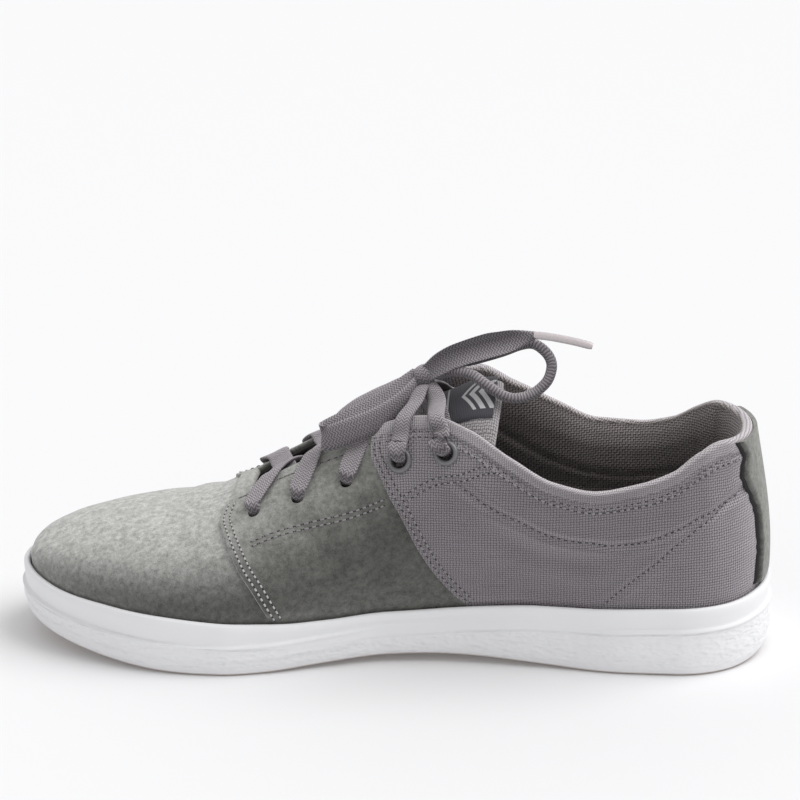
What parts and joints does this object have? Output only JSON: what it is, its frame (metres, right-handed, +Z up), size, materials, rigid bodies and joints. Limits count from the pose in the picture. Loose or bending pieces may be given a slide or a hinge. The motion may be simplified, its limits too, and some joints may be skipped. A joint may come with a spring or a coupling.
{
  "type": "skateboarding shoe",
  "caption": "Right low-top skate shoe: hollow suede and canvas upper with padded collar and tongue on a moulded rubber cupsole, laced and tied in a bow.",
  "frame": {"origin": "centre of the bounding box in plan, on the plane that the sole's flat spots stand on", "axes": "+X to the heel, -X to the toe, +Z up, -Y to the medial side of this right shoe"},
  "size_m": [0.3, 0.1052, 0.1286],
  "materials": {
    "white_rubber": "matt moulded white rubber, lightly wrinkled sides",
    "grey_suede": "napped grey suede with light streaks",
    "footbed_cloth": "dark knitted cover on foam",
    "grey_canvas": "plain woven grey canvas, padded",
    "heel_cloth": "coarse woven tape with a dark edge",
    "label_cloth": "dark slate woven label",
    "eyelet_metal": "satin grey rolled ring",
    "lace_cotton": "flat herringbone woven lace",
    "aglet_plastic": "translucent pinkish grey film"
  },
  "bodies": {
    "root": {"cupsole": "white_rubber", "upper": "grey_suede", "insole": "footbed_cloth", "tongue": "grey_canvas", "heel_tab": "heel_cloth", "tongue_label": "label_cloth", "eyelet_4_medial": "eyelet_metal", "eyelet_4_lateral": "eyelet_metal", "eyelet_5_medial": "eyelet_metal", "eyelet_5_lateral": "eyelet_metal", "lace_crossings": "lace_cotton", "lace_knot": "lace_cotton", "lace_loop_left": "lace_cotton", "lace_loop_right": "lace_cotton", "lace_end_left": "lace_cotton", "lace_end_right": "lace_cotton", "aglet_left": "aglet_plastic", "aglet_right": "aglet_plastic"}
  },
  "joints": []
}
